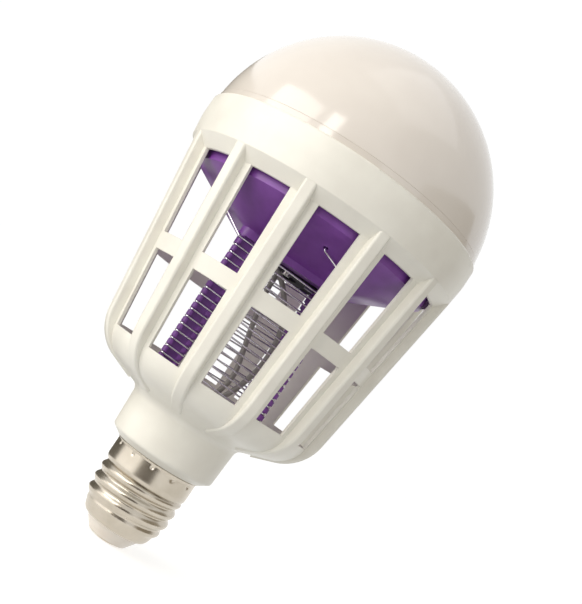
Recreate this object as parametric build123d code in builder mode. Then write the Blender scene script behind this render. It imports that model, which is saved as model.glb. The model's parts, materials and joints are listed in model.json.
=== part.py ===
from build123d import *
import os
from math import cos, hypot, pi, radians, sin, sqrt, tan

# Insect killer light bulb, built up from the tip of its centre contact.
# +Z runs from the cap to the dome, and one column of windows faces -Y.
# All sizes are millimetres.

os.makedirs("parts", exist_ok=True)

# Heights of the stacked lengths, from the tip upwards
cap_height = 27.7
neck_height = 14.3
bowl_height = 12.3
lower_window_height = 24.1
band_height = 5.1
upper_window_height = 26.4
shoulder_height = 3.7
collar_height = 12.4
dome_radius = 46.3
dome_centre_drop = 1.3

neck_bottom_z = cap_height
neck_top_z = neck_bottom_z + neck_height
lower_window_z = neck_top_z + bowl_height
band_z = lower_window_z + lower_window_height
upper_window_z = band_z + band_height
shoulder_z = upper_window_z + upper_window_height
crease_z = shoulder_z + shoulder_height
rim_z = crease_z + collar_height
dome_centre_z = rim_z - dome_centre_drop

# Clearances
press_clearance = 0.1
seat_clearance = 0.2
wire_clearance = 0.05
lip_clearance = 1.3
spigot_clearance = 0.5

# Screw cap: 27 mm Edison thread
thread_crest_radius = 13.1
thread_depth = 0.95
thread_pitch = 3.629
thread_turns = 3.03
thread_half_width = 1.35
thread_low_z = 8.9
skirt_step = 0.05
skirt_height = 6.5
skirt_flare = 0.5
skirt_flare_height = 0.7
shell_wall = 0.45
shell_end_z = 6.3
shell_end_inset = 0.75
shell_taper_height = 1.4
skirt_step_height = 1.0
dimple_count = 12
dimple_shift = 0.8
dimple_radius = 0.6
dimple_depth = 0.3
dimple_drop = 1.6

thread_root_radius = thread_crest_radius - thread_depth
skirt_radius = thread_crest_radius + skirt_step
shell_end_radius = thread_root_radius - shell_end_inset
shell_bore = thread_root_radius - shell_wall
skirt_bottom_z = neck_bottom_z - skirt_height
spigot_outer_radius = skirt_radius - shell_wall - press_clearance
spigot_bottom_z = skirt_bottom_z + spigot_clearance

# Housing: collar, shoulder, tapered cage wall, bowl and neck
collar_step = 0.9
crease_inset = 0.8
shoulder_inset = 3.5
wall_taper = 8.0
neck_swell = 3.7
neck_taper = 0.7
neck_overhang = 1.05
neck_roll_height = 1.9
bowl_corner_share = 0.6
bowl_corner_drop = 6.1
bowl_slope = 0.364
neck_fillet_radius = 2.6
housing_wall = 1.0
lip_rounding = 0.6
crease_rounding = 0.4
collar_bend_radius = 20.0
neck_roll_radius = 1.2
window_count = 12
window_half_angle = 9.0

collar_radius = dome_radius + collar_step
crease_radius = collar_radius - crease_inset
wall_top_radius = crease_radius - shoulder_inset
wall_low_radius = wall_top_radius - wall_taper
wall_slope = (wall_top_radius - wall_low_radius) / (shoulder_z - lower_window_z)
neck_foot_radius = skirt_radius + neck_overhang
neck_radius = neck_foot_radius + neck_swell
bowl_width = wall_low_radius - neck_radius
bowl_corner_radius = bowl_corner_share * bowl_width


def wall_radius(z):
    """Outer radius of the straight cage wall at height z."""
    return wall_low_radius + wall_slope * (z - lower_window_z)


bowl_corner_z = lower_window_z - bowl_corner_drop


def bowl_height_at(radius):
    """Height of the bowl's straight outer slope at a radius."""
    return bowl_corner_z - bowl_slope * (wall_radius(bowl_corner_z) - radius)


# Ribs between the window columns
rib_width = 3.8
rib_height = 3.0
rib_crest_rounding = 0.8
rib_bend_share = 0.84
rib_corner_drop = 5.3
rib_tip_gap = 4.4
rib_tip_height = 0.6
rib_top_drop = 0.1

rib_bend_radius = rib_bend_share * bowl_width
rib_tip_radius = neck_radius + rib_tip_gap

# Hollow of the housing
floor_rise = 5.6
floor_thickness = 2.6
floor_corner_radius = 8.3
floor_hole_radius = 5.0
neck_wall = 3.4
spigot_wall = 1.8
throat_rise = 1.5
throat_cone_height = 3.5
collar_wall = 2.2
ledge_step = 0.8
plate_step_drop = 3.5

neck_bore_radius = neck_radius - neck_wall
throat_radius = spigot_outer_radius - spigot_wall
plate_bore_radius = collar_radius - collar_wall
ledge_radius = plate_bore_radius - ledge_step
floor_z = neck_top_z + floor_rise
plate_step_z = rim_z - plate_step_drop

# Dome
dome_wall = 1.5
dome_band_height = 1.9
dome_band_step = 0.15
dome_spigot_wall = 1.3

# Insulator and centre contact
insulator_taper = 4.4
insulator_tip_z = 0.6
insulator_plug_height = 2.4
insulator_face = 2.2
contact_thickness = 1.2
contact_shank_radius = 1.6
contact_shank_z = 9.6
contact_rounding = 0.5
insulator_edge = 0.2
solder_height = 0.8
solder_bead_radius = 0.9

insulator_tip_radius = shell_end_radius - insulator_taper
contact_radius = insulator_tip_radius - insulator_face

# Grid frame: funnel, bottom plate and four wire posts, set a little turned
frame_turn = -3.0
frame_wall = 1.4
flange_thickness = 1.6
flange_clearance = 0.2
lip_drop = 5.7
plate_drop = 18.4
plate_thickness = 2.1
plate_inset = 0.1
plate_corner_radius = 3.2
post_share = 0.42183
post_width = 6.6
post_corner_radius = 1.6
post_flute_width = 3.2
post_flute_depth = 1.0
post_boss_radius = 4.0
post_boss_height = 5.7
lead_hole_radius = 4.6
lead_hole_x = -2.0
loft_corner_relief = 0.01
socket_wall = 1.2
socket_height = 2.4

post_offset = post_share * (wall_low_radius - housing_wall)
plate_half = post_offset + post_width / 2 - plate_inset
plate_z = crease_z - plate_drop
plate_top_z = plate_z + plate_thickness
lip_z = crease_z - lip_drop
lip_radius = wall_radius(lip_z) - housing_wall - lip_clearance
flange_radius = ledge_radius - flange_clearance
frame_inner_radius = lip_radius - frame_wall
funnel_slope = (lip_radius - plate_half) / (lip_z - plate_top_z)
funnel_slant = hypot(1, funnel_slope)
inner_half = plate_half - frame_wall * funnel_slant

# Grid wires
wire_radius = 0.28
line_pitch = 2.46
line_count = 17
first_turn_drop = 0.9
notch_depth = 0.6
notch_height = 0.95
first_pass_lift = 0.3
feed_hole_radius = 0.8
feed_hole_x = 4.1
feed_hole_y = 30.6
feed_hole_start = 1.0
feed_hole_depth = 4.0
feed_knee_x = 9.5
feed_knee_y = 27.5
feed_lift = 0.8
feed_depth = 2.6
feed_bend = 0.5
knee_bend = 4.0
wire_tail = 5.0

first_turn_z = plate_z - first_turn_drop
corner_drop = line_pitch / 2
wire_reach = post_offset + post_width / 2 - notch_depth + wire_clearance + wire_radius
wire_bend = post_corner_radius - notch_depth + wire_clearance + wire_radius

# LED plate, LED board and driver board
heat_plate_thickness = 1.5
heat_plate_hole = 4.0
led_board_inset = 1.8
led_board_thickness = 1.0
led_ring_inset = 10.2
led_ring_ratio = 0.56
led_outer_count = 20
led_inner_count = 10
led_length = 3.5
led_width = 2.8
led_height = 0.8
plate_screw_count = 3
plate_screw_radius = 1.1
screw_head_radius = 2.1
screw_head_height = 1.3
plate_screw_depth = 5.0
screw_boss_radius = 2.5
driver_length = 40.0
driver_width = 34.0
driver_thickness = 1.6
driver_gap = 2.4
standoff_inset = 7.5
standoff_radius = 2.6
driver_screw_radius = 0.9
driver_screw_depth = 4.5
uv_board_gap = 0.6
uv_board_corner_radius = 1.0
uv_board_hole_share = 0.635
uv_board_thickness = 1.0
uv_led_inset = 2.1
uv_led_width = 2.8
uv_led_height = 0.8
uv_lead_inset = 1.8
uv_lead_offset = 2.0
uv_lead_hole_radius = 0.75
uv_screw_inset = 1.6
uv_screw_radius = 0.8
uv_screw_depth = 1.5
uv_head_radius = 1.5
uv_head_height = 0.9

# Small parts on the driver board
driver_head_radius = 1.7
driver_head_height = 1.0
electrolytic_inset = 5.4
electrolytic_y = 0.4
electrolytic_radius = 4.2
electrolytic_height = 13.0
electrolytic_rounding = 0.6
inductor_inset = 5.4
inductor_y = -2.6
inductor_radius = 3.8
inductor_waist = 0.7
inductor_flange = 1.0
inductor_height = 8.0
block_rounding = 0.4
multiplier_count = 4
disc_row_x = -5.6
disc_row_inset = 3.6
disc_pitch = 3.7
disc_radius = 2.9
disc_thickness = 2.2
leg_width = 0.6
leg_length = 0.9
diode_inset = 4.6
diode_y = 4.6
bleed_inset = 4.6
bleed_y = 8.8
fuse_end_inset = 4.8
fuse_side_inset = 4.0
film_inset = 3.8
chip_gap = 7.1
diode_pitch = 3.1

led_board_radius = plate_bore_radius - led_board_inset
led_outer_ring = led_board_radius - led_ring_inset
led_inner_ring = led_ring_ratio * led_outer_ring
plate_screw_ring = lip_radius
board_end_x = driver_length / 2
board_side_y = driver_width / 2
standoff_offset = board_side_y - standoff_inset
standoff_height = (hypot(board_end_x, board_side_y) + driver_gap - inner_half) / funnel_slope
uv_board_half = post_offset - post_width / 2 - uv_board_gap
uv_board_hole = uv_board_hole_share * uv_board_half
uv_led_offset = uv_board_half - uv_led_inset
uv_lead_x = uv_board_half - uv_lead_inset
uv_screw_offset = uv_board_half - uv_screw_inset
electrolytic_x = electrolytic_inset - board_end_x
inductor_x = board_end_x - inductor_inset
diode_x = board_end_x - diode_inset
bleed_x = bleed_inset - board_end_x
fuse_x = fuse_end_inset - board_end_x
fuse_y = board_side_y - fuse_side_inset
film_y = board_side_y - film_inset
disc_row_y = disc_row_inset - board_side_y
chip_x = electrolytic_x + chip_gap
heat_plate_z = plate_step_z
heat_plate_top = heat_plate_z + heat_plate_thickness
led_board_top = heat_plate_top + led_board_thickness
driver_z = plate_top_z + standoff_height
driver_top = driver_z + driver_thickness

# Insulated leads
lead_radius = 0.85
thin_lead_radius = 0.55
bend_share = 0.45
neutral_foot_gap = 1.5
led_lead_offset = 1.6
led_lead_foot_x = 1.1
led_lead_low_arch = 4.2
led_lead_high_arch = 5.4
led_lead_drop = 3.0
led_lead_reach = 2.7
led_lead_hook = 1.0


def turned(z):
    """Level plane at height z, turned with the grid frame."""
    return Plane.XY.rotated((0, 0, frame_turn)).offset(z)


def on_funnel(x, y, lift):
    """Point on the funnel's front face, y in front of the axis, lifted off along the face's normal."""
    z = plate_top_z + (y - plate_half) / funnel_slope
    return (x, -y - lift / funnel_slant, z - lift * funnel_slope / funnel_slant)


def bend_radii(points):
    """Largest arc at each corner that its two runs leave room for."""
    radii = []
    for before, here, after in zip(points, points[1:], points[2:]):
        run_in = Vector(*here) - Vector(*before)
        run_out = Vector(*after) - Vector(*here)
        shorter = min(run_in.length, run_out.length)
        half_turn = radians(run_in.get_angle(run_out)) / 2
        radii.append(bend_share * shorter / tan(half_turn))
    return radii


def lead_solid(points, radius):
    """Round lead along straight runs joined by tangent arcs."""
    with BuildPart() as lead:
        with BuildLine() as route:
            FilletPolyline(*points, radius=bend_radii(points))
        with BuildSketch(Plane(origin=route.line @ 0, z_dir=route.line % 0)):
            Circle(radius)
        sweep(path=route.line)
    return lead.part


# One rib, a plate standing on the wall with a rounded crest
rib_corner_z = lower_window_z - rib_corner_drop
rib_top_z = crease_z - rib_top_drop
with BuildPart() as rib:
    with BuildSketch(Plane.XZ):
        with BuildLine():
            crest = FilletPolyline(
                (crease_radius, rib_top_z),
                (wall_top_radius + rib_height, shoulder_z),
                (wall_radius(rib_corner_z) + rib_height, rib_corner_z),
                (rib_tip_radius, bowl_height_at(rib_tip_radius) - rib_tip_height),
                radius=[rib_crest_rounding, rib_bend_radius],
            )
            Polyline(crest @ 1, (rib_tip_radius, rib_top_z), crest @ 0)
        make_face()
    extrude(amount=rib_width / 2, both=True)
    side_edges = rib.edges().filter_by(lambda e: abs(abs(e.center().Y) - rib_width / 2) < 0.01)
    crest_edges = side_edges.filter_by(
        lambda e: e.center().X > rib_tip_radius + 0.1 and e.center().Z < rib_top_z - 0.1
    )
    fillet(crest_edges, rib_crest_rounding)

# Cage housing: one moulding with collar, cage, bowl, neck and cap spigot
with BuildPart() as cage_housing:
    with BuildSketch(Plane.XZ):
        with BuildLine():
            outline = FilletPolyline(
                (0, rim_z),
                (collar_radius, rim_z),
                (collar_radius, rim_z - collar_height / 2),
                (crease_radius, crease_z),
                (wall_top_radius, shoulder_z),
                (wall_radius(bowl_corner_z), bowl_corner_z),
                (neck_radius, bowl_height_at(neck_radius)),
                (neck_radius - neck_taper, neck_bottom_z + neck_roll_height),
                (neck_foot_radius, neck_bottom_z),
                (spigot_outer_radius, neck_bottom_z),
                (spigot_outer_radius, spigot_bottom_z),
                (0, spigot_bottom_z),
                radius=[
                    lip_rounding,
                    collar_bend_radius,
                    crease_rounding,
                    crease_rounding,
                    bowl_corner_radius,
                    neck_fillet_radius,
                    neck_roll_radius,
                    0,
                    0,
                    0,
                ],
            )
            Line(outline @ 1, outline @ 0)
        make_face()
    revolve(axis=Axis.Z)
    with PolarLocations(0, window_count, start_angle=180 / window_count):
        add(rib.part)
    with BuildSketch(Plane.XZ):
        with BuildLine():
            inner = FilletPolyline(
                (0, rim_z),
                (plate_bore_radius, rim_z),
                (plate_bore_radius, plate_step_z),
                (ledge_radius, plate_step_z),
                (ledge_radius, crease_z),
                (wall_radius(crease_z) - housing_wall, crease_z),
                (wall_radius(floor_z) - housing_wall, floor_z),
                (0, floor_z),
                radius=[0, 0, 0, 0, 0, floor_corner_radius],
            )
            Line(inner @ 1, inner @ 0)
        make_face()
    revolve(axis=Axis.Z, mode=Mode.SUBTRACT)
    with BuildSketch(Plane.XZ):
        with BuildLine():
            throat_z = neck_bottom_z + throat_rise
            Polyline(
                (0, floor_z),
                (floor_hole_radius, floor_z),
                (floor_hole_radius, floor_z - floor_thickness),
                (neck_bore_radius, floor_z - floor_thickness),
                (neck_bore_radius, throat_z + throat_cone_height),
                (throat_radius, throat_z),
                (throat_radius, spigot_bottom_z),
                (0, spigot_bottom_z),
                close=True,
            )
        make_face()
    revolve(axis=Axis.Z, mode=Mode.SUBTRACT)
    for row_z, row_height in ((lower_window_z, lower_window_height), (upper_window_z, upper_window_height)):
        with BuildSketch(Plane.XY.offset(row_z)):
            with PolarLocations(0, window_count, start_angle=-90):
                near = wall_low_radius / 2
                far = wall_top_radius + rib_height
                flare = tan(radians(window_half_angle))
                Polygon(
                    (near, -near * flare),
                    (far, -far * flare),
                    (far, far * flare),
                    (near, near * flare),
                    align=None,
                )
        extrude(amount=row_height, mode=Mode.SUBTRACT)
    socket_size = post_width + 2 * seat_clearance
    socket_outer = socket_size + 2 * socket_wall
    with BuildSketch(turned(floor_z)):
        with GridLocations(2 * post_offset, 2 * post_offset, 2, 2):
            RectangleRounded(socket_outer, socket_outer, post_corner_radius + socket_wall)
            RectangleRounded(socket_size, socket_size, post_corner_radius, mode=Mode.SUBTRACT)
    extrude(amount=socket_height)
cage_housing.part.label = "cage_housing"
export_step(cage_housing.part, "parts/cage_housing.step")

# Dome diffuser: part of a sphere on a short band, with a spigot in the collar
with BuildPart() as dome_diffuser:
    with BuildSketch(Plane.XZ):
        with BuildLine():
            band_top = rim_z + dome_band_height
            outer_foot = sqrt(dome_radius**2 - (band_top - dome_centre_z) ** 2)
            inner_radius = dome_radius - dome_wall
            inner_foot_z = rim_z
            inner_foot = sqrt(inner_radius**2 - (inner_foot_z - dome_centre_z) ** 2)
            spigot_r = plate_bore_radius - seat_clearance
            spigot_z = heat_plate_top + press_clearance
            top = dome_centre_z + dome_radius
            middle = sqrt(0.5)
            ThreePointArc(
                (outer_foot, band_top),
                (dome_radius * middle, dome_centre_z + dome_radius * middle),
                (0, top),
            )
            Line((0, top), (0, top - dome_wall))
            ThreePointArc(
                (0, top - dome_wall),
                (inner_radius * middle, dome_centre_z + inner_radius * middle),
                (inner_foot, inner_foot_z),
            )
            Polyline(
                (inner_foot, inner_foot_z),
                (spigot_r - dome_spigot_wall, inner_foot_z),
                (spigot_r - dome_spigot_wall, spigot_z),
                (spigot_r, spigot_z),
                (spigot_r, rim_z),
                (dome_radius, rim_z),
                (dome_radius, band_top - dome_band_step),
                (outer_foot - dome_band_step, band_top - dome_band_step),
                (outer_foot, band_top),
            )
        make_face()
    revolve(axis=Axis.Z)
dome_diffuser.part.label = "dome_diffuser"
export_step(dome_diffuser.part, "parts/dome_diffuser.step")

# Grid frame: flange, lip, square funnel, bottom plate, posts and bosses
with BuildPart() as grid_frame:
    with BuildSketch(turned(crease_z)):
        Circle(flange_radius)
    extrude(amount=flange_thickness)
    with BuildSketch(turned(lip_z)):
        Circle(lip_radius)
    extrude(amount=lip_drop)
    with BuildSketch(turned(plate_z)):
        RectangleRounded(2 * plate_half, 2 * plate_half, plate_corner_radius)
    extrude(amount=plate_thickness)
    with BuildSketch(turned(plate_top_z)):
        RectangleRounded(2 * plate_half, 2 * plate_half, plate_corner_radius)
    with BuildSketch(turned(lip_z)):
        RectangleRounded(2 * lip_radius, 2 * lip_radius, lip_radius - loft_corner_relief)
    loft(ruled=True)
    with BuildSketch(turned(plate_z)):
        with GridLocations(2 * post_offset, 2 * post_offset, 2, 2):
            Circle(post_boss_radius)
    extrude(amount=post_boss_height)
    inner_top_z = plate_top_z + (frame_inner_radius - inner_half) / funnel_slope
    with BuildSketch(turned(plate_top_z)):
        RectangleRounded(2 * inner_half, 2 * inner_half, plate_corner_radius)
    with BuildSketch(turned(inner_top_z)):
        inner_corner_radius = frame_inner_radius - loft_corner_relief
        RectangleRounded(2 * frame_inner_radius, 2 * frame_inner_radius, inner_corner_radius)
    loft(ruled=True, mode=Mode.SUBTRACT)
    with BuildSketch(turned(inner_top_z)):
        Circle(frame_inner_radius)
    extrude(amount=crease_z + flange_thickness - inner_top_z, mode=Mode.SUBTRACT)
    with BuildSketch(turned(floor_z)):
        with GridLocations(2 * post_offset, 2 * post_offset, 2, 2):
            RectangleRounded(post_width, post_width, post_corner_radius)
    extrude(amount=plate_z - floor_z)
    with BuildSketch(turned(plate_z)):
        with Locations((lead_hole_x, 0)):
            Circle(lead_hole_radius)
    extrude(amount=plate_thickness, mode=Mode.SUBTRACT)
    with BuildSketch(turned(plate_z)):
        with GridLocations(0, 2 * uv_lead_offset, 1, 2):
            with Locations((uv_lead_x, 0)):
                Circle(uv_lead_hole_radius)
    extrude(amount=plate_thickness, mode=Mode.SUBTRACT)
    with BuildSketch(turned(plate_z)):
        with GridLocations(0, 2 * uv_screw_offset, 1, 2):
            Circle(uv_screw_radius)
    extrude(amount=uv_screw_depth, mode=Mode.SUBTRACT)
    for face_turn in (0, -90):
        face = Plane.XY.rotated((0, 0, frame_turn + face_turn))
        seat = face.from_local_coords(Vector(*on_funnel(feed_hole_x, feed_hole_y, feed_hole_start)))
        inside = face.from_local_coords(Vector(*on_funnel(feed_hole_x, feed_hole_y, 0)))
        with BuildSketch(Plane(origin=seat, z_dir=inside - seat)):
            Circle(feed_hole_radius)
    extrude(amount=feed_hole_depth, mode=Mode.SUBTRACT)
    with BuildSketch(turned(plate_top_z)):
        with GridLocations(2 * standoff_offset, 2 * standoff_offset, 2, 2):
            Circle(standoff_radius)
    extrude(amount=standoff_height)
    with BuildSketch(turned(driver_z)):
        with GridLocations(2 * standoff_offset, 2 * standoff_offset, 2, 2):
            Circle(driver_screw_radius)
    extrude(amount=-driver_screw_depth, mode=Mode.SUBTRACT)
    with BuildSketch(turned(crease_z)):
        with PolarLocations(plate_screw_ring, plate_screw_count):
            Circle(screw_boss_radius)
    extrude(amount=plate_step_z - crease_z)
    with BuildSketch(turned(plate_step_z)):
        with PolarLocations(plate_screw_ring, plate_screw_count):
            Circle(plate_screw_radius)
    extrude(amount=-plate_screw_depth, mode=Mode.SUBTRACT)
    flute_foot_z = first_turn_z - line_count * line_pitch - corner_drop
    with BuildSketch(turned(flute_foot_z)):
        with GridLocations(2 * post_offset, 2 * post_offset, 2, 2):
            with PolarLocations(post_width / 2, 4):
                Rectangle(2 * post_flute_depth, post_flute_width)
    extrude(amount=plate_z - flute_foot_z, mode=Mode.SUBTRACT)
    for corner in range(4):
        corner_x = post_offset * (1 if corner in (1, 2) else -1)
        corner_y = post_offset * (1 if corner in (2, 3) else -1)
        corner_top_z = first_turn_z - corner * corner_drop
        first = -1 if corner in (2, 3) else 0
        levels = [corner_top_z - line_pitch * line for line in range(first, line_count)]
        if corner == 1:
            levels.append(first_turn_z + first_pass_lift)
        for level in levels:
            with BuildSketch(turned(level - notch_height / 2)):
                with Locations((corner_x, corner_y)):
                    Rectangle(post_width + notch_depth, post_width + notch_depth)
                    RectangleRounded(
                        post_width - 2 * notch_depth,
                        post_width - 2 * notch_depth,
                        post_corner_radius - notch_depth,
                        mode=Mode.SUBTRACT,
                    )
    extrude(amount=notch_height, mode=Mode.SUBTRACT)
grid_frame.part.label = "grid_frame"
export_step(grid_frame.part, "parts/grid_frame.step")


# Grid wires: two interleaved windings round the posts, each with its feed end
# through a hole in the funnel
corner_signs = ((-1, -1), (1, -1), (1, 1), (-1, 1))


def wire_corner(index, z):
    """Corner of the winding at the post that the index falls on."""
    sign_x, sign_y = corner_signs[index % 4]
    return (sign_x * wire_reach, sign_y * wire_reach, z)


def turned_feed(quarter_turns):
    """Feed end on the funnel's front face, or on the face that many quarter turns on."""
    points = [
        on_funnel(feed_hole_x, feed_hole_y, -feed_depth),
        on_funnel(feed_hole_x, feed_hole_y, feed_lift),
        on_funnel(feed_knee_x, feed_knee_y, feed_lift),
    ]
    angle = radians(-90 * quarter_turns)
    return [(x * cos(angle) - y * sin(angle), x * sin(angle) + y * cos(angle), z) for x, y, z in points]


def grid_wire(points, radii):
    """Round wire through points given in the grid frame's own turned axes."""
    with BuildPart() as wire:
        with BuildLine(turned(0)) as route:
            FilletPolyline(*points, radius=radii)
        with BuildSketch(Plane(origin=route.line @ 0, z_dir=route.line % 0)):
            Circle(wire_radius)
        sweep(path=route.line)
    return wire.part


last_corner = 2 * (line_count - 1) + 1


def winding(first, first_z, second_z):
    """Corners of one wire from its first post down, and its tail past the last post."""
    corners = [wire_corner(first, first_z)]
    for step, index in enumerate(range(first + 1, last_corner + 1)):
        corners.append(wire_corner(index, second_z - step * corner_drop))
    end_x, end_y, end_z = corners[-1]
    return corners + [(end_x, end_y + wire_tail, end_z)]


live_corners = winding(0, first_turn_z, first_turn_z - corner_drop)
return_corners = winding(1, first_turn_z + first_pass_lift, first_turn_z)
for name, feed, corners in (
    ("grid_wire_live", turned_feed(1), live_corners),
    ("grid_wire_return", turned_feed(0), return_corners),
):
    wire = grid_wire(feed + corners, [feed_bend, knee_bend] + [wire_bend] * (len(corners) - 1))
    wire.label = name
    export_step(wire, f"parts/{name}.step")

# Heat plate of the light board, a flat disc on the collar's inner step
with BuildPart() as led_heat_plate:
    with BuildSketch(turned(heat_plate_z)):
        Circle(plate_bore_radius - seat_clearance)
        Circle(heat_plate_hole, mode=Mode.SUBTRACT)
        with PolarLocations(plate_screw_ring, plate_screw_count):
            Circle(plate_screw_radius + seat_clearance, mode=Mode.SUBTRACT)
    extrude(amount=heat_plate_thickness)
led_heat_plate.part.label = "led_heat_plate"
export_step(led_heat_plate.part, "parts/led_heat_plate.step")

# Light board
with BuildPart() as led_board:
    with BuildSketch(turned(heat_plate_top)):
        Circle(led_board_radius)
        Circle(heat_plate_hole, mode=Mode.SUBTRACT)
        with PolarLocations(plate_screw_ring, plate_screw_count):
            Circle(plate_screw_radius + seat_clearance, mode=Mode.SUBTRACT)
    extrude(amount=led_board_thickness)
led_board.part.label = "led_board"
export_step(led_board.part, "parts/led_board.step")

# White light chips in two rings
with BuildPart() as led_chips:
    with BuildSketch(turned(led_board_top)):
        with PolarLocations(led_outer_ring, led_outer_count):
            Rectangle(led_width, led_length)
        with PolarLocations(led_inner_ring, led_inner_count):
            Rectangle(led_width, led_length)
    extrude(amount=led_height)
led_chips.part.label = "led_chips"
export_step(led_chips.part, "parts/led_chips.step")

# Screws that tie the light board and its heat plate to the grid frame
with BuildPart() as led_plate_screws:
    with BuildSketch(turned(led_board_top)):
        with PolarLocations(plate_screw_ring, plate_screw_count):
            Circle(screw_head_radius)
    extrude(amount=screw_head_height)
    with BuildSketch(turned(led_board_top)):
        with PolarLocations(plate_screw_ring, plate_screw_count):
            Circle(plate_screw_radius - wire_clearance)
    extrude(amount=-(led_board_top - plate_step_z + plate_screw_depth - seat_clearance))
led_plate_screws.part.label = "led_plate_screws"
export_step(led_plate_screws.part, "parts/led_plate_screws.step")

# Driver board on the four standoffs inside the funnel
with BuildPart() as driver_board:
    with BuildSketch(turned(driver_z)):
        RectangleRounded(driver_length, driver_width, standoff_radius)
        with GridLocations(2 * standoff_offset, 2 * standoff_offset, 2, 2):
            Circle(driver_screw_radius + wire_clearance, mode=Mode.SUBTRACT)
    extrude(amount=driver_thickness)
driver_board.part.label = "driver_board"
export_step(driver_board.part, "parts/driver_board.step")

with BuildPart() as driver_board_screws:
    with BuildSketch(turned(driver_top)):
        with GridLocations(2 * standoff_offset, 2 * standoff_offset, 2, 2):
            Circle(driver_head_radius)
    extrude(amount=driver_head_height)
    with BuildSketch(turned(driver_top)):
        with GridLocations(2 * standoff_offset, 2 * standoff_offset, 2, 2):
            Circle(driver_screw_radius - wire_clearance)
    extrude(amount=-(driver_thickness + driver_screw_depth - seat_clearance))
driver_board_screws.part.label = "driver_board_screws"
export_step(driver_board_screws.part, "parts/driver_board_screws.step")

# Parts standing on the driver board
with BuildPart() as electrolytic_capacitor:
    with BuildSketch(turned(driver_top)):
        with Locations((electrolytic_x, electrolytic_y)):
            Circle(electrolytic_radius)
    extrude(amount=electrolytic_height)
    fillet(electrolytic_capacitor.edges().filter_by(GeomType.CIRCLE), electrolytic_rounding)
electrolytic_capacitor.part.label = "electrolytic_capacitor"
export_step(electrolytic_capacitor.part, "parts/electrolytic_capacitor.step")

with BuildPart() as power_inductor:
    with BuildSketch(turned(driver_top)):
        with Locations((inductor_x, inductor_y)):
            Circle(inductor_radius)
    extrude(amount=inductor_flange)
    with BuildSketch(turned(driver_top)):
        with Locations((inductor_x, inductor_y)):
            Circle(inductor_radius - inductor_waist)
    extrude(amount=inductor_height)
    with BuildSketch(turned(driver_top + inductor_height - inductor_flange)):
        with Locations((inductor_x, inductor_y)):
            Circle(inductor_radius)
    extrude(amount=inductor_flange)
power_inductor.part.label = "power_inductor"
export_step(power_inductor.part, "parts/power_inductor.step")

# name, x, y, length, width and height
blocks = (
    ("film_capacitor", 0.0, film_y, 13.0, 5.5, 10.0),
    ("bridge_rectifier", -3.0, -5.5, 6.5, 5.0, 2.5),
    ("driver_chip", chip_x, 4.0, 4.0, 5.0, 1.6),
)
for name, x, y, length, width, height in blocks:
    with BuildPart() as block:
        with BuildSketch(turned(driver_top)):
            with Locations((x, y)):
                RectangleRounded(length, width, block_rounding)
        extrude(amount=height)
    block.part.label = name
    export_step(block.part, f"parts/{name}.step")

# Ceramic discs of the voltage multiplier, standing on edge
with BuildPart() as multiplier_capacitors:
    for disc in range(multiplier_count):
        disc_x = disc_row_x + disc * disc_pitch - disc_thickness / 2
        middle = Vector(disc_x, disc_row_y, disc_radius)
        with BuildSketch(Plane(origin=turned(driver_top).from_local_coords(middle), z_dir=turned(0).x_dir)):
            Circle(disc_radius)
    extrude(amount=disc_thickness)
multiplier_capacitors.part.label = "multiplier_capacitors"
export_step(multiplier_capacitors.part, "parts/multiplier_capacitors.step")


def axial_parts(places, body_radius, body_length):
    """Bodies lying on the driver board along X, with a bent strip leg at each end."""
    with BuildPart() as axials:
        for x, y in places:
            start = turned(driver_top).from_local_coords(Vector(x - body_length / 2, y, body_radius))
            with BuildSketch(Plane(origin=start, z_dir=turned(0).x_dir)):
                Circle(body_radius)
        extrude(amount=body_length)
        for level, leg_x, leg_rise in (
            (driver_top, body_length / 2 + leg_length - leg_width, body_radius + leg_width / 2),
            (driver_top + body_radius - leg_width / 2, body_length / 2 - leg_width, leg_width),
        ):
            with BuildSketch(turned(level)):
                for x, y in places:
                    for side in (-1, 1):
                        far = side * (body_length / 2 + leg_length)
                        near = side * leg_x
                        with Locations((x + (near + far) / 2, y)):
                            Rectangle(abs(far - near), leg_width)
            extrude(amount=leg_rise)
    return axials.part


diode_places = [(diode_x, diode_y + diode_pitch * row) for row in range(multiplier_count)]
# name, places, body radius and body length
axials = (
    ("multiplier_diodes", diode_places, 1.25, 4.5),
    ("bleed_resistor", [(bleed_x, bleed_y)], 1.1, 5.4),
    ("fuse_resistor", [(fuse_x, fuse_y)], 1.4, 6.2),
)
for name, places, body_radius, body_length in axials:
    axial = axial_parts(places, body_radius, body_length)
    axial.label = name
    export_step(axial, f"parts/{name}.step")

# Ultraviolet board under the bottom plate, its lamps facing down into the cage
uv_top_z = plate_z
uv_bottom_z = uv_top_z - uv_board_thickness
with BuildPart() as uv_led_board:
    with BuildSketch(turned(uv_bottom_z)):
        RectangleRounded(2 * uv_board_half, 2 * uv_board_half, uv_board_corner_radius)
        with Locations((lead_hole_x, 0)):
            Circle(uv_board_hole, mode=Mode.SUBTRACT)
        with GridLocations(0, 2 * uv_screw_offset, 1, 2):
            Circle(uv_screw_radius + wire_clearance, mode=Mode.SUBTRACT)
    extrude(amount=uv_board_thickness)
uv_led_board.part.label = "uv_led_board"
export_step(uv_led_board.part, "parts/uv_led_board.step")

with BuildPart() as uv_leds:
    with BuildSketch(turned(uv_bottom_z)):
        with GridLocations(2 * uv_led_offset, 2 * uv_led_offset, 2, 2):
            Rectangle(uv_led_width, uv_led_width)
    extrude(amount=-uv_led_height)
uv_leds.part.label = "uv_leds"
export_step(uv_leds.part, "parts/uv_leds.step")

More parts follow.
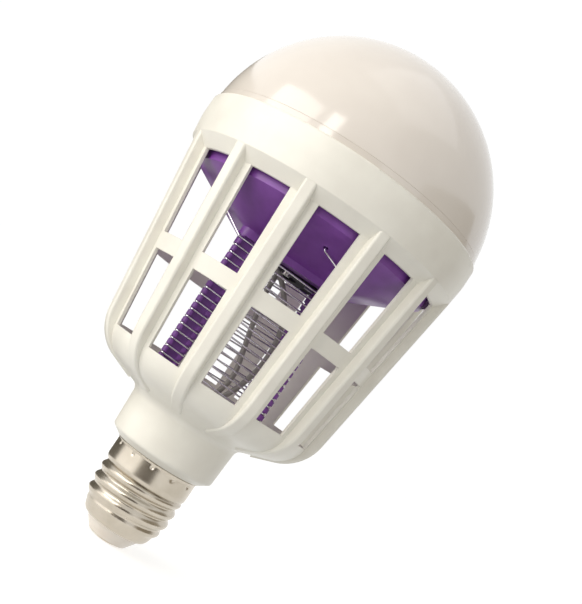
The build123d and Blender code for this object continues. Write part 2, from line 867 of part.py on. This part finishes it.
with BuildPart() as uv_board_screws:
    with BuildSketch(turned(uv_bottom_z)):
        with GridLocations(0, 2 * uv_screw_offset, 1, 2):
            Circle(uv_head_radius)
    extrude(amount=-uv_head_height)
    with BuildSketch(turned(uv_bottom_z)):
        with GridLocations(0, 2 * uv_screw_offset, 1, 2):
            Circle(uv_screw_radius - wire_clearance)
    extrude(amount=uv_board_thickness + uv_screw_depth - seat_clearance)
uv_board_screws.part.label = "uv_board_screws"
export_step(uv_board_screws.part, "parts/uv_board_screws.step")

for name, side in (("uv_lead_positive", 1), ("uv_lead_negative", -1)):
    with BuildPart() as uv_lead:
        with BuildSketch(turned(uv_top_z)):
            with Locations((uv_lead_x, side * uv_lead_offset)):
                Circle(thin_lead_radius)
        extrude(amount=driver_z - uv_top_z)
    uv_lead.part.label = name
    export_step(uv_lead.part, f"parts/{name}.step")

# Mains leads, bowed through the cage from the cap to the driver board
live_route = (
    (0, 0, contact_shank_z),
    (0, 0, 18.5),
    (1.6, -1.2, 30.0),
    (2.0, -1.6, 42.0),
    (4.2, -1.6, 51.0),
    (8.2, -1.5, 59.5),
    (10.2, -1.5, 70.0),
    (8.8, -1.5, 80.5),
    (3.6, -1.5, 89.2),
    (-3.2, -1.5, 95.2),
    (-6.2, -1.5, 99.2),
    (-6.2, -1.5, driver_z),
)
live_lead = lead_solid(live_route, lead_radius)
live_lead.label = "live_lead"
export_step(live_lead, "parts/live_lead.step")

neutral_foot = (shell_bore - neutral_foot_gap, 1.5, 15.5)
neutral_route = (
    neutral_foot,
    (8.8, 1.7, 22.5),
    (5.4, 2.0, 32.0),
    (2.4, 2.2, 42.0),
    (2.9, 2.2, 51.0),
    (5.3, 2.0, 60.0),
    (2.7, 2.0, 69.5),
    (0.4, 2.0, 78.5),
    (-1.5, 2.0, 87.5),
    (-1.4, 2.4, 96.0),
    (-1.4, 2.4, driver_z),
)
neutral_lead = lead_solid(neutral_route, lead_radius)
neutral_lead.label = "neutral_lead"
export_step(neutral_lead, "parts/neutral_lead.step")

# Short leads from the driver board over the edge of the light board's hole
for name, side in (("led_lead_positive", led_lead_offset), ("led_lead_negative", -led_lead_offset)):
    led_route = (
        (led_lead_foot_x, side, driver_top),
        (led_lead_foot_x, side, led_board_top + led_lead_low_arch),
        (heat_plate_hole + led_lead_hook, side, led_board_top + led_lead_high_arch),
        (heat_plate_hole + led_lead_reach, side, led_board_top + led_lead_drop),
        (heat_plate_hole + led_lead_reach, side, led_board_top),
    )
    led_lead = lead_solid(led_route, thin_lead_radius)
    led_lead.label = name
    export_step(led_lead, f"parts/{name}.step")

# Screw shell: skirt, threaded wall and rolled end of thin sheet
thread_z = skirt_bottom_z - skirt_step_height
taper_z = shell_end_z + shell_taper_height
with BuildPart() as screw_shell:
    with BuildSketch(Plane.XZ):
        with BuildLine():
            Polyline(
                (skirt_radius + skirt_flare, neck_bottom_z),
                (skirt_radius, neck_bottom_z - skirt_flare_height),
                (skirt_radius, skirt_bottom_z),
                (thread_root_radius, thread_z),
                (thread_root_radius, taper_z),
                (shell_end_radius, shell_end_z),
                (shell_end_radius - shell_wall, shell_end_z),
                (thread_root_radius - shell_wall, taper_z),
                (thread_root_radius - shell_wall, thread_z),
                (skirt_radius - shell_wall, skirt_bottom_z),
                (skirt_radius - shell_wall, neck_bottom_z - skirt_flare_height),
                (skirt_radius - shell_wall + skirt_flare, neck_bottom_z),
                close=True,
            )
        make_face()
    revolve(axis=Axis.Z)
    with BuildLine(Plane.XY.offset(thread_low_z)) as thread_path:
        Helix(thread_pitch, thread_pitch * thread_turns, thread_root_radius)
    thread_foot = thread_path.line @ 0
    ridge_foot = shell_wall / 2
    with BuildSketch(Plane(origin=thread_foot, x_dir=(1, 0, 0), z_dir=thread_path.line % 0)):
        with BuildLine():
            ThreePointArc(
                (-ridge_foot, -thread_half_width),
                (thread_crest_radius - thread_root_radius, 0),
                (-ridge_foot, thread_half_width),
            )
            Line((-ridge_foot, thread_half_width), (-ridge_foot, -thread_half_width))
        make_face()
    sweep(path=thread_path.line, is_frenet=True)
    for dimple in range(dimple_count):
        angle = 2 * pi * (dimple + dimple_shift) / dimple_count
        outward = Vector(cos(angle), sin(angle), 0)
        place = outward * skirt_radius + Vector(0, 0, neck_bottom_z - dimple_drop)
        with BuildSketch(Plane(origin=place, z_dir=outward)):
            Circle(dimple_radius)
    extrude(amount=-dimple_depth, mode=Mode.SUBTRACT)
screw_shell.part.label = "screw_shell"
export_step(screw_shell.part, "parts/screw_shell.step")

# Insulator cone with its plug inside the shell's end
insulator_bore = contact_shank_radius + press_clearance
plug_radius = shell_end_radius - shell_wall - press_clearance
with BuildPart() as cap_insulator:
    with BuildSketch(Plane.XZ):
        with BuildLine():
            Polyline(
                (insulator_bore, contact_thickness),
                (contact_radius + press_clearance, contact_thickness),
                (contact_radius + press_clearance, insulator_tip_z),
                (insulator_tip_radius, insulator_tip_z),
                (shell_end_radius - insulator_edge, shell_end_z - insulator_edge),
                (shell_end_radius - insulator_edge, shell_end_z),
                (plug_radius, shell_end_z),
                (plug_radius, shell_end_z + insulator_plug_height),
                (insulator_bore, shell_end_z + insulator_plug_height),
                close=True,
            )
        make_face()
    revolve(axis=Axis.Z)
cap_insulator.part.label = "cap_insulator"
export_step(cap_insulator.part, "parts/cap_insulator.step")

# Centre contact: button and shank
with BuildPart() as centre_contact:
    with BuildSketch(Plane.XZ):
        with BuildLine():
            Polyline(
                (0, 0),
                (contact_radius - contact_rounding, 0),
                (contact_radius, contact_rounding),
                (contact_radius, contact_thickness),
                (contact_shank_radius, contact_thickness),
                (contact_shank_radius, contact_shank_z),
                (0, contact_shank_z),
                close=True,
            )
        make_face()
    revolve(axis=Axis.Z)
centre_contact.part.label = "centre_contact"
export_step(centre_contact.part, "parts/centre_contact.step")

# Solder: a ring round the live lead on the shank, and a bead from the neutral lead to the shell
with BuildPart() as live_solder:
    with BuildSketch(Plane.XY.offset(contact_shank_z)):
        Circle(contact_shank_radius)
        Circle(lead_radius + wire_clearance, mode=Mode.SUBTRACT)
    extrude(amount=solder_height)
live_solder.part.label = "live_solder"
export_step(live_solder.part, "parts/live_solder.step")

foot_x, foot_y, foot_z = neutral_foot
bead_start = foot_x + lead_radius + wire_clearance
bead_reach = foot_y + solder_bead_radius
bead_end = sqrt(shell_bore**2 - bead_reach**2)
with BuildPart() as neutral_solder:
    with BuildSketch(Plane(origin=(bead_start, foot_y, foot_z + solder_bead_radius), z_dir=(1, 0, 0))):
        Circle(solder_bead_radius)
    extrude(amount=bead_end - bead_start)
neutral_solder.part.label = "neutral_solder"
export_step(neutral_solder.part, "parts/neutral_solder.step")
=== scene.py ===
# %% [markdown]
# # An insect killer light bulb
# The bulb screws into a lampholder. A milky dome gives white light, and under it
# a white cage of twelve window columns holds a purple frame that is wound with
# thin grid wires. The CAD model gives every size. This lesson gives the looks:
# it keeps the CAD solids whose shape is right and makes new pieces where the
# real one is softer than the solid.

import json
import math

import bmesh
import bpy
from mathutils import Matrix, Vector


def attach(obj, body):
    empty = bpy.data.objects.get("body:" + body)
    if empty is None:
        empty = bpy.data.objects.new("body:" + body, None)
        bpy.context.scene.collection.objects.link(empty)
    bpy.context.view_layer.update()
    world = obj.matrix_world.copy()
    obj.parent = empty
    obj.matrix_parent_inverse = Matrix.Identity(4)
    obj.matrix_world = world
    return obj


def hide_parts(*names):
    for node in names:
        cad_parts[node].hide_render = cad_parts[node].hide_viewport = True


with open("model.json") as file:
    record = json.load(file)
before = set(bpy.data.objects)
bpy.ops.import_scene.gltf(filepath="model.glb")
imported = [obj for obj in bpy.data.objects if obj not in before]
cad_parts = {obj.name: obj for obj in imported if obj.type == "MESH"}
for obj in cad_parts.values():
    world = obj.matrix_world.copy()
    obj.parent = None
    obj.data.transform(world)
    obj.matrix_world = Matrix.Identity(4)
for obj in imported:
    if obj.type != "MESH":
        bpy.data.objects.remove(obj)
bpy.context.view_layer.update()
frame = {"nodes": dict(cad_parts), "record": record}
nodes = frame["nodes"]
print("CAD nodes:", len(nodes))

# %% [markdown]
# ## The camera
# The photograph was taken from the side, a little below the middle of the bulb,
# with the camera rolled so that the bulb leans to the right. The camera could be
# turned by three angles, but it is easier to check when it is set by where it
# stands, along which line it looks and how far it is rolled about that line.
# The bulb itself stays upright in the CAD frame.

# %% Camera
MM = 0.001
camera_data = bpy.data.cameras.new("camera")
camera_data.sensor_fit = "HORIZONTAL"
camera_data.sensor_width = 36.0
focal_pixels = 979.79
picture_width = 582
camera_data.lens = focal_pixels / picture_width * camera_data.sensor_width
camera_data.clip_start = 0.01
camera = bpy.data.objects.new("camera", camera_data)
bpy.context.scene.collection.objects.link(camera)

camera_place = Vector((-29.17, -294.11, 62.43))
sight = Vector((0.1202, 0.9889, 0.0879)).normalized()
level_right = sight.cross(Vector((0, 0, 1))).normalized()
level_up = level_right.cross(sight)
roll = math.radians(33.97)
right = math.cos(roll) * level_right + math.sin(roll) * level_up
up = right.cross(sight)
turn = Matrix((right, up, -sight)).transposed().to_4x4()
camera.matrix_world = Matrix.Translation(camera_place * MM) @ turn
bpy.context.scene.camera = camera
print("camera lens in mm:", round(camera_data.lens, 2))

# %% [markdown]
# ## Helpers for colours and nodes
# Blender mixes light in linear values, while a colour given here is an sRGB
# hex value. One function turns the second into the first. Another adds one node
# with its settings and links, so that a material reads as a short list.

# %% Colour and node helpers
def linear_colour(hex_value):
    """Linear RGBA of an sRGB hex value such as "f2efe6"."""
    channels = [int(hex_value[i : i + 2], 16) / 255 for i in (0, 2, 4)]
    return (*[c / 12.92 if c <= 0.04045 else ((c + 0.055) / 1.055) ** 2.4 for c in channels], 1.0)


def add_node(material, kind, settings=None, values=None, links=None):
    """Adds a node. Links are given as socket: (source node, output name)."""
    node = material.node_tree.nodes.new(kind)
    for name, value in (settings or {}).items():
        setattr(node, name, value)
    for socket, value in (values or {}).items():
        node.inputs[socket].default_value = value
    for socket, (source, output) in (links or {}).items():
        material.node_tree.links.new(source.outputs[output], node.inputs[socket])
    return node


def new_material(name, **shader_values):
    """Empty material with a Principled shader, whose constants sit on its own sockets."""
    material = bpy.data.materials.new(name)
    material.use_nodes = True
    material.node_tree.nodes.clear()
    values = {key.replace("_", " "): value for key, value in shader_values.items()}
    shader = add_node(material, "ShaderNodeBsdfPrincipled", values=values)
    add_node(material, "ShaderNodeOutputMaterial", links={"Surface": (shader, "BSDF")})
    return material, shader


# %% [markdown]
# ## A surface that isn't quite even
# No moulded, drawn or plated face has one flat colour. A broad noise shifts the
# colour and the gloss a little, and a fine one gives the bump of the tool's
# texture. Both sizes are given in millimetres of the real surface. Where a
# moulding has crisp edges, a bevel in the shader rounds how they catch light,
# which is lighter than bevelling thousands of small edges in the mesh.

# %% Uneven surface helper
# Most noise values lie between these two, so the two colours sit there.
noise_span = (0.3, 0.7)
bevel_samples = 4


def uneven_surface(
    material, shader, colours, grain_mm, bump_mm, bump_grain_mm, gloss, edge_mm=None
):
    """Colour and roughness drift over grain_mm, with a fine bump and soft edges.

    gloss is the lowest and highest roughness."""
    link = material.node_tree.links.new
    place = add_node(material, "ShaderNodeTexCoord")
    cloud = add_node(
        material, "ShaderNodeTexNoise",
        values={"Scale": 1 / (grain_mm * MM), "Detail": 3.0},
        links={"Vector": (place, "Object")},
    )
    ramp = add_node(material, "ShaderNodeValToRGB", links={"Fac": (cloud, "Fac")})
    for stop, position, colour in zip(ramp.color_ramp.elements, noise_span, colours):
        stop.position = position
        stop.color = linear_colour(colour)
    link(ramp.outputs["Color"], shader.inputs["Base Color"])
    grit = add_node(
        material, "ShaderNodeTexNoise",
        values={"Scale": 1 / (bump_grain_mm * MM), "Detail": 2.0},
        links={"Vector": (place, "Object")},
    )
    bump = add_node(
        material, "ShaderNodeBump",
        values={"Strength": 1.0, "Distance": bump_mm * MM},
        links={"Height": (grit, "Fac")},
    )
    if edge_mm:
        soft_edge = add_node(
            material, "ShaderNodeBevel", {"samples": bevel_samples}, {"Radius": edge_mm * MM}
        )
        link(soft_edge.outputs["Normal"], bump.inputs["Normal"])
    link(bump.outputs["Normal"], shader.inputs["Normal"])
    spread = add_node(
        material, "ShaderNodeMapRange",
        values={"To Min": gloss[0], "To Max": gloss[1]},
        links={"Value": (cloud, "Fac")},
    )
    link(spread.outputs["Result"], shader.inputs["Roughness"])
    return material


# %% [markdown]
# ## Housing plastic
# The collar, cage, ribs and neck are one moulding of PBT, the warm white plastic
# of most lamp bodies. The tool was polished and then lightly textured, so the
# skin is satin: highlights are wide and soft, and there is no grain to see. A
# plain white would look like paper, so the white leans to yellow and the
# roughness drifts from place to place.

# %% Housing plastic
moulded_pbt, shader = new_material("moulded_white_pbt", IOR=1.5)
uneven_surface(moulded_pbt, shader, ("e9e6dc", "efede3"), 9.0, 0.008, 1.2, (0.3, 0.42), 0.3)
print("material:", moulded_pbt.name)

# %% [markdown]
# ## Dome plastic
# The dome is polycarbonate filled with a white diffusing powder and moulded in
# a polished tool. The lamp is off, so the eye gets a pinkish milky grey under a
# clear gloss. Real scattering under the skin would need many samples; the same
# look comes from a pale base with a low roughness and a thin coat of gloss.

# %% Dome plastic
milky_polycarbonate, shader = new_material(
    "milky_polycarbonate", IOR=1.58, Coat_Weight=0.35, Coat_Roughness=0.06
)
uneven_surface(milky_polycarbonate, shader, ("d9d1c8", "e1dad1"), 25.0, 0.005, 6.0, (0.14, 0.2))
print("material:", milky_polycarbonate.name)

# %% [markdown]
# ## Purple plastic
# The funnel and the four posts are one moulding of coloured ABS. It is satin and
# strongly tinted, so the faces turned to the light show a warm violet and the
# hollows fall to a deep plum. The skin has a fine texture from the tool.

# %% Purple plastic
purple_abs, shader = new_material("moulded_purple_abs", IOR=1.53)
uneven_surface(purple_abs, shader, ("763a94", "8447a6"), 5.0, 0.01, 0.9, (0.34, 0.46), 0.25)
print("material:", purple_abs.name)

# %% [markdown]
# ## Grid wire
# The grid is bright drawn stainless wire of about half a millimetre. Drawing
# leaves faint lines along the wire that are too fine to show, so the wire gets
# only a slight drift in gloss. It flashes white on the purple and looks dark
# where the pale room is behind it.

# %% Grid wire
steel_wire, shader = new_material("drawn_stainless_wire", Metallic=1.0)
uneven_surface(steel_wire, shader, ("dcd9e2", "f0eef4"), 2.0, 0.002, 0.3, (0.14, 0.26))
print("material:", steel_wire.name)

# %% [markdown]
# ## Nickel plate and cream insulator
# The cap's shell is brass sheet with a bright nickel plate. It mirrors the room,
# so most of its look comes from what stands round it, and the plate itself adds
# a warm tint and a slight ripple left by the pressing. The cone at its end is a
# cream thermoset with a smooth, glassy skin.

# %% Cap finishes
nickel, shader = new_material("nickel_plated_brass", Metallic=1.0)
uneven_surface(nickel, shader, ("bab2a4", "c8c0b3"), 6.0, 0.004, 1.6, (0.22, 0.3))
cream_thermoset, shader = new_material("moulded_cream_thermoset", IOR=1.55)
uneven_surface(cream_thermoset, shader, ("f3e8d9", "f8efe2"), 4.0, 0.006, 2.0, (0.16, 0.26), 0.3)
print("materials:", nickel.name, cream_thermoset.name)

# %% [markdown]
# ## Finishes of the inner parts
# The boards, components, screws and leads are small and mostly hidden, but each
# still has its own stuff: a board is laminate under a lacquer, a capacitor wears
# a shrunk sleeve, a lead is soft PVC. They all use the same uneven surface with
# their own colours and gloss, so one table holds them. The table gives the
# record's slot, the material's name, two colours, the roughness and the metal.

# %% Inner finishes
gloss_drift = 0.05
inner_finishes = {}
for slot, name, dark, light, rough, metal in (
    ("aluminium_sheet", "rolled_aluminium_sheet", "c4c5c7", "d2d3d5", 0.35, 1.0),
    ("board", "white_lacquered_laminate", "e8e8e2", "f0f0ea", 0.4, 0.0),
    # The near black of the board under the funnel is painted shade, standing for the shadow
    # there, not for its lacquer.
    ("dark_board", "laminate_darkened_as_painted_shade", "0c090f", "120e15", 0.8, 0.0),
    ("driver_laminate", "paper_laminate", "a98a4e", "b89a5c", 0.6, 0.0),
    ("lamp_chip", "phosphor_in_silicone", "ecd86a", "f2e283", 0.3, 0.0),
    # The dark violet grey of the UV chips is painted shade, darkened along with the board they
    # sit on.
    ("uv_lamp_chip", "silicone_lens_darkened_as_painted_shade", "4a4260", "5a5272", 0.3, 0.0),
    ("screw_steel", "zinc_plated_steel", "c2c0bb", "d2d0cb", 0.28, 1.0),
    ("capacitor_sleeve", "shrunk_pvc_sleeve", "18181c", "222228", 0.3, 0.0),
    ("film_case", "red_epoxy_case", "a8322a", "b63b31", 0.35, 0.0),
    ("black_case", "moulded_black_epoxy", "101011", "1a1a1c", 0.55, 0.0),
    ("coil", "varnished_copper_coil", "6a3a1c", "7d4824", 0.4, 0.0),
    ("ceramic_disc", "blue_lacquered_ceramic", "2f5290", "3a62a6", 0.3, 0.0),
    ("resistor_body", "lacquered_resistor", "b8a67c", "c8b68c", 0.35, 0.0),
    ("grey_insulation", "grey_pvc_lead", "98948f", "a6a29d", 0.42, 0.0),
    ("red_insulation", "red_pvc_lead", "9c1d16", "ae2a20", 0.4, 0.0),
    ("black_insulation", "black_pvc_lead", "121213", "1c1c1e", 0.4, 0.0),
    ("contact_metal", "stamped_brass_contact", "b59a62", "c8ae76", 0.3, 1.0),
    ("solder", "tin_solder", "a9abad", "bcbec0", 0.35, 1.0),
):
    material, shader = new_material(name, Metallic=metal)
    gloss = (rough - gloss_drift, rough + gloss_drift)
    inner_finishes[slot] = uneven_surface(material, shader, (dark, light), 3.0, 0.004, 0.6, gloss)
print("inner finishes:", len(inner_finishes))

# %% [markdown]
# ## Dress the CAD solids
# The record names a material slot for every CAD node, so one loop gives each
# node its finish. The solids are true to size and stay as they are.

# %% Finishes on the CAD nodes
slot_finish = {
    "housing_plastic": moulded_pbt,
    "dome_plastic": milky_polycarbonate,
    "purple_plastic": purple_abs,
    "grid_steel": steel_wire,
    "nickel_shell": nickel,
    "cream_insulator": cream_thermoset,
    **inner_finishes,
}
for part in frame["record"]["subparts"]:
    node = nodes[part["node"]]
    node.data.materials.clear()
    node.data.materials.append(slot_finish[part["material_slot"]])

# %% [markdown]
# ## Make a piece from a bmesh
# Each new piece ends the same way: its normals are recalculated, it is shaded
# smooth, it rides on the one body of the model, gets the material it is given
# and hides the CAD node that it stands for.

# %% Piece helper
def make_piece(name, piece_bm, material, node):
    """Object from a bmesh in metres, which stands for a CAD node."""
    bmesh.ops.recalc_face_normals(piece_bm, faces=piece_bm.faces)
    for face in piece_bm.faces:
        face.smooth = True
    mesh = bpy.data.meshes.new(name)
    piece_bm.to_mesh(mesh)
    piece_bm.free()
    mesh.materials.append(material)
    piece = bpy.data.objects.new(name, mesh)
    bpy.context.scene.collection.objects.link(piece)
    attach(piece, "root")
    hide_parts(node)
    print(name, "faces:", len(mesh.polygons))
    return piece


# %% [markdown]
# ## Spin a profile
# Both new pieces are round. A profile of a few points is cut into short edges
# and spun about the axis, which gives enough points to press a thread and marks
# into. Blender's Screw modifier could spin too, but its points only exist after
# the modifier, so nothing could be pressed into them here.

# %% Profile helper
def spun_profile(points_mm, step_mm, sides):
    """Bmesh of a profile of (radius, height) points, cut to step_mm and spun round the axis."""
    spin_bm = bmesh.new()
    corners = [spin_bm.verts.new((radius * MM, 0, height * MM)) for radius, height in points_mm]
    for near, far in zip(corners, corners[1:]):
        spin_bm.edges.new((near, far))
    long_edges = spin_bm.edges[:]
    while long_edges:
        bmesh.ops.subdivide_edges(spin_bm, edges=long_edges, cuts=1)
        long_edges = [edge for edge in spin_bm.edges if edge.calc_length() > step_mm * MM]
    bmesh.ops.spin(
        spin_bm, geom=spin_bm.verts[:] + spin_bm.edges[:], axis=(0, 0, 1), cent=(0, 0, 0),
        dvec=(0, 0, 0), angle=2 * math.pi, steps=sides, use_merge=True, use_duplicate=False,
    )
    return spin_bm


# %% [markdown]
# ## The screw shell
# The real shell is pressed from sheet, and the thread is rolled into it as a
# soft wave that fades into the skirt above and the rounded end below. The CAD
# solid has a round ridge on a tube, which is right for size but too hard in its
# grooves. A swept ridge would keep that groove, so here the plain profile is
# spun first. Then each point moves out by a cosine wave that climbs one pitch in
# each turn. Twelve punch marks in the skirt are pressed in the same way. A
# Solidify modifier gives the sheet its thickness. On this open surface the
# recalculated normals face the axis, so the thickness lies outside the profile.

# %% Screw shell
thread_pitch = 3.629
thread_depth = 0.95
thread_low_z = 8.9
skirt_radius = 13.15
sheet_mm = 0.35
shell_profile = (
    (9.4, 5.1), (9.6, 4.85), (9.95, 4.95), (10.45, 5.6), (10.85, 6.5),
    (11.1, 7.6), (11.7, 10.0), (12.05, 13.0), (12.1, 20.0), (12.75, 20.7),
    (13.1, 21.3), (13.15, 21.9), (13.15, 26.9), (13.3, 27.35), (13.6, 27.68),
)
wave_start, wave_full, wave_fades, wave_end = 6.8, 9.8, 19.4, 21.0
mark_count, mark_shift, mark_z = 12, 0.8, 26.1
mark_radius, mark_depth = 0.9, 0.42


def ease(value, low, high):
    """Smooth step from 0 at low to 1 at high."""
    share = min(max((value - low) / (high - low), 0.0), 1.0)
    return share * share * (3 - 2 * share)


shell_bm = spun_profile(shell_profile, step_mm=0.4, sides=288)
for vert in shell_bm.verts:
    radius = math.hypot(vert.co.x, vert.co.y) / MM
    angle = math.atan2(vert.co.y, vert.co.x)
    height = vert.co.z / MM
    strength = ease(height, wave_start, wave_full) * (1 - ease(height, wave_fades, wave_end))
    climb = (height - thread_low_z) / thread_pitch - angle / (2 * math.pi)
    moved = radius + strength * thread_depth * (0.5 + 0.5 * math.cos(2 * math.pi * climb))
    turn_part = angle / (2 * math.pi) * mark_count - mark_shift
    along = (turn_part - round(turn_part)) * 2 * math.pi * skirt_radius / mark_count
    reach = math.hypot(along, height - mark_z)
    moved -= mark_depth * (1 - ease(reach, 0.0, mark_radius))
    vert.co.x *= moved / radius
    vert.co.y *= moved / radius
shell = make_piece("pressed_screw_shell", shell_bm, nickel, "screw_shell")
sheet = shell.modifiers.new("sheet_thickness", "SOLIDIFY")
sheet.thickness = sheet_mm * MM
sheet.offset = -1.0

# %% [markdown]
# ## The insulator cone
# The cone is moulded with soft edges, which a few straight CAD lines don't show.
# Its profile has extra points where the edges roll over, and it is spun like the
# shell. Its face stays flat round the contact. The profile ends where it starts,
# so the two ends are welded after the spin.

# %% Insulator cone
weld_mm = 0.001
cone_profile = (
    (1.9, 1.3), (4.95, 1.3), (4.95, 0.6), (5.15, 0.45), (5.85, 0.42), (6.2, 0.52),
    (6.45, 0.85), (9.6, 5.0), (9.8, 5.6), (9.8, 7.5), (1.9, 7.5), (1.9, 1.3),
)
cone_bm = spun_profile(cone_profile, step_mm=0.5, sides=96)
bmesh.ops.remove_doubles(cone_bm, verts=cone_bm.verts, dist=weld_mm * MM)
make_piece("moulded_insulator_cone", cone_bm, cream_thermoset, "cap_insulator")

# %% [markdown]
# ## Floor and room
# The photograph has a plain white ground. One large sheet of white paper lies
# under the cap, and a white tent stands far round it. If both lit the bulb as
# brightly as they look, its shaded side would wash out. So they glow a little
# for the eye and in reflections only, and the soft light on the bulb comes from
# a dimmer world.

# %% Stage helper
def make_stage(name, stage_bm, material):
    """Stage object from a bmesh, which is seen and mirrored but lights nothing."""
    mesh = bpy.data.meshes.new(name)
    stage_bm.to_mesh(mesh)
    stage_bm.free()
    mesh.materials.append(material)
    stage = bpy.data.objects.new(name, mesh)
    bpy.context.scene.collection.objects.link(stage)
    stage.visible_diffuse = False
    stage.visible_shadow = False
    return stage


def glowing_material(name, colour, glow):
    """Matte stuff of one colour that also glows white by itself."""
    material, shader = new_material(name, Roughness=1.0, Emission_Strength=glow)
    shader.inputs["Base Color"].default_value = linear_colour(colour)
    shader.inputs["Emission Color"].default_value = linear_colour("ffffff")
    return material


# %% Floor and tent
paper = glowing_material("matte_white_paper", "cfcfce", glow=0.6)
floor_bm = bmesh.new()
bmesh.ops.create_grid(floor_bm, x_segments=1, y_segments=1, size=6.0)
make_stage("floor", floor_bm, paper)
tent_cloth = glowing_material("white_tent_cloth", "000000", glow=1.0)
tent_bm = bmesh.new()
bmesh.ops.create_icosphere(tent_bm, subdivisions=4, radius=5.0)
make_stage("tent", tent_bm, tent_cloth)
print("stage materials:", paper.name, tent_cloth.name)

# %% World
world = bpy.data.worlds.new("pale_room")
bpy.context.scene.world = world
world.use_nodes = True
background = world.node_tree.nodes["Background"]
background.inputs["Color"].default_value = linear_colour("fbfaf8")
background.inputs["Strength"].default_value = 0.62
print("world strength:", round(background.inputs["Strength"].default_value, 2))

# %% [markdown]
# ## Lights and cards
# A wide softbox on the left gives the bright side of the cage, and a narrow one
# further to the front gives the streak on the dome. A weak one above opens the
# shadows. Nickel needs dark and light things to mirror, as in a studio, so a few
# cards of felt and silk stand round the bulb, some of them low round the cap.
# They show only in reflections. The card on the right also shades that side.

# %% Softboxes
bulb_middle = (0, 0, 90)


def stand_at(place, target):
    """Matrix of a light or card at place that faces target, both in millimetres."""
    direction = Vector(target) - Vector(place)
    facing = direction.to_track_quat("-Z", "Y").to_matrix().to_4x4()
    return Matrix.Translation(Vector(place) * MM) @ facing


for name, place, width, height, watts, tint in (
    ("left_softbox", (-560, -200, 240), 420, 460, 2.0, "fffaf2"),
    ("front_softbox", (-350, -470, 260), 100, 420, 0.8, "fffaf2"),
    ("top_softbox", (60, -60, 620), 400, 400, 0.25, "fdfdff"),
):
    light_data = bpy.data.lights.new(name, "AREA")
    light_data.shape = "RECTANGLE"
    light_data.size = width * MM
    light_data.size_y = height * MM
    light_data.energy = watts
    light_data.color = linear_colour(tint)[:3]
    light = bpy.data.objects.new(name, light_data)
    light.matrix_world = stand_at(place, bulb_middle)
    bpy.context.scene.collection.objects.link(light)
    print(name, "watts:", watts)

# %% Cards
def card_at(name, bearing, distance, width, height, material):
    """Card upright on the floor, at a bearing in degrees that grows to the camera's right."""
    side = math.radians(bearing)
    place = (distance * math.sin(side), -distance * math.cos(side), height / 2)
    card_bm = bmesh.new()
    bmesh.ops.create_grid(card_bm, x_segments=1, y_segments=1, size=0.5)
    bmesh.ops.scale(card_bm, vec=(width * MM, height * MM, 1), verts=card_bm.verts)
    bmesh.ops.transform(card_bm, matrix=stand_at(place, (0, 0, place[2])), verts=card_bm.verts)
    card = make_stage(name, card_bm, material)
    card.visible_camera = False
    return card


brown_felt = glowing_material("brown_felt", "71675a", glow=0.0)
grey_felt = glowing_material("grey_felt", "7a766b", glow=0.0)
white_silk = glowing_material("white_silk", "ffffff", glow=0.9)
beige_felt = glowing_material("beige_felt", "a89e8c", glow=0.0)
cards = [
    card_at(*row)
    for row in (
        ("front_card", -12, 470, 330, 330, brown_felt),
        ("left_back_card", -140, 500, 640, 330, grey_felt),
        ("low_front_card", -12, 75, 62, 46, brown_felt),
        ("low_left_card", -68, 75, 76, 46, white_silk),
        ("low_back_card", -140, 80, 124, 46, grey_felt),
        ("right_card", 75, 490, 620, 420, beige_felt),
    )
]
# The right card takes part in the soft light as well, so it shades its side.
cards[-1].visible_diffuse = True
print("cards:", len(cards))

# %% [markdown]
# ## Finish
# The plain Standard view keeps the whites as white as the photograph has them.

# %% Finish
bpy.context.scene.view_settings.view_transform = "Standard"
